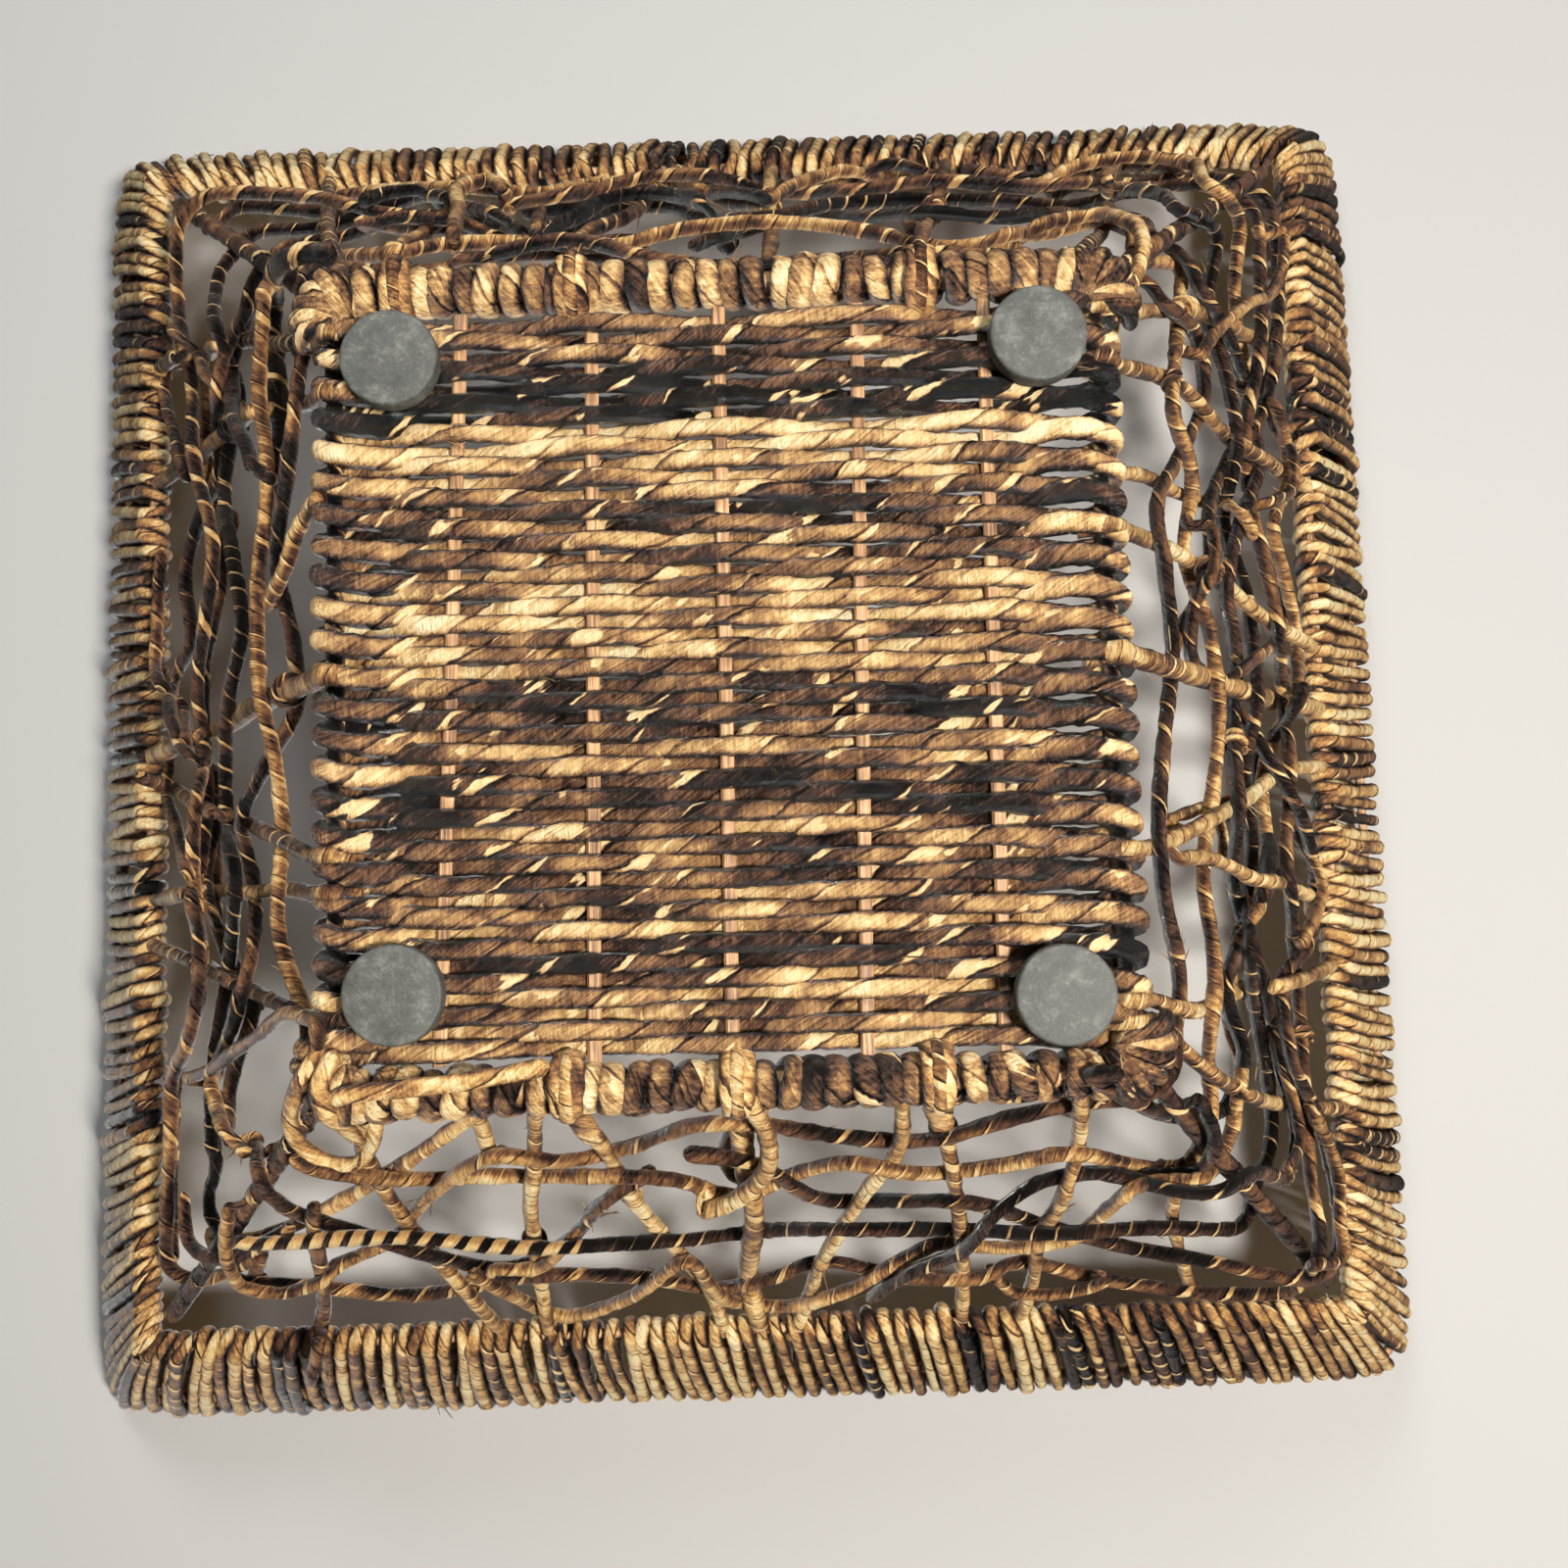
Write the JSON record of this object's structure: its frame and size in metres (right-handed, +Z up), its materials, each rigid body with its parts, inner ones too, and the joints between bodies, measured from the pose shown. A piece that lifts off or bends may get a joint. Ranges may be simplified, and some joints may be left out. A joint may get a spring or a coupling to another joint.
{
  "type": "wicker fruit basket",
  "caption": "Flared square openwork basket of twisted bark rope on a rattan frame, with a woven base, a wide wrapped rim band and four round rubber feet.",
  "frame": {"origin": "middle of the footprint, on the surface that the four feet stand on", "axes": "+Z up through the open top; X and Y along the sides of the square rim, with the two wrapped bars of the base along X at +Y and -Y"},
  "size_m": [0.45, 0.45, 0.172],
  "materials": {
    "rubber": "matt dark olive-grey rubber",
    "reed": "smooth split reed, satin",
    "rattan": "peeled rattan, satin",
    "post": "orange-brown smooth rattan pole, satin",
    "rim_rope": "twisted bast rope, tan, cream and dark brown by turns",
    "bar_bark": "broad twisted bark, tan with cream and brown splits",
    "base_rope": "thin twisted bark rope, brown with cream streaks",
    "stake_rope": "twisted bast rope, tan and cream",
    "dark_rope": "twisted bark rope, near black with cream lines, satin",
    "tan_rope": "twisted bast rope, tan",
    "brown_rope": "twisted bark rope, brown with cream lines"
  },
  "bodies": {
    "root": {"bar_core_back": "rattan", "bar_core_front": "rattan", "bar_winding_back": "bar_bark", "bar_winding_front": "bar_bark", "base_weave": "base_rope", "foot_back_left": "rubber", "foot_back_right": "rubber", "foot_front_left": "rubber", "foot_front_right": "rubber", "post_back_left": "post", "post_back_right": "post", "post_front_left": "post", "post_front_right": "post", "rim_hoop_lower": "rattan", "rim_hoop_upper": "rattan", "rim_winding_back": "rim_rope", "rim_winding_front": "rim_rope", "rim_winding_left": "rim_rope", "rim_winding_right": "rim_rope", "side_rod_left": "rattan", "side_rod_right": "rattan", "slat_1": "reed", "slat_2": "reed", "slat_3": "reed", "slat_4": "reed", "slat_5": "reed", "stake_back_1": "stake_rope", "stake_back_2": "stake_rope", "stake_back_3": "stake_rope", "stake_back_4": "stake_rope", "stake_back_5": "stake_rope", "stake_back_6": "stake_rope", "stake_back_7": "stake_rope", "stake_front_1": "stake_rope", "stake_front_2": "stake_rope", "stake_front_3": "stake_rope", "stake_front_4": "stake_rope", "stake_front_5": "stake_rope", "stake_front_6": "stake_rope", "stake_left_1": "stake_rope", "stake_left_2": "stake_rope", "stake_left_3": "stake_rope", "stake_left_4": "stake_rope", "stake_left_5": "stake_rope", "stake_left_6": "stake_rope", "stake_right_1": "stake_rope", "stake_right_2": "stake_rope", "stake_right_3": "stake_rope", "stake_right_4": "stake_rope", "stake_right_5": "stake_rope", "stake_right_6": "stake_rope", "stake_right_7": "stake_rope", "weaver_brown_left": "brown_rope", "weaver_brown_low": "brown_rope", "weaver_brown_rise": "brown_rope", "weaver_brown_upper": "brown_rope", "weaver_dark_right": "dark_rope", "weaver_striped": "dark_rope", "weaver_tan_lower": "tan_rope", "weaver_tan_wave": "tan_rope"}
  },
  "joints": []
}
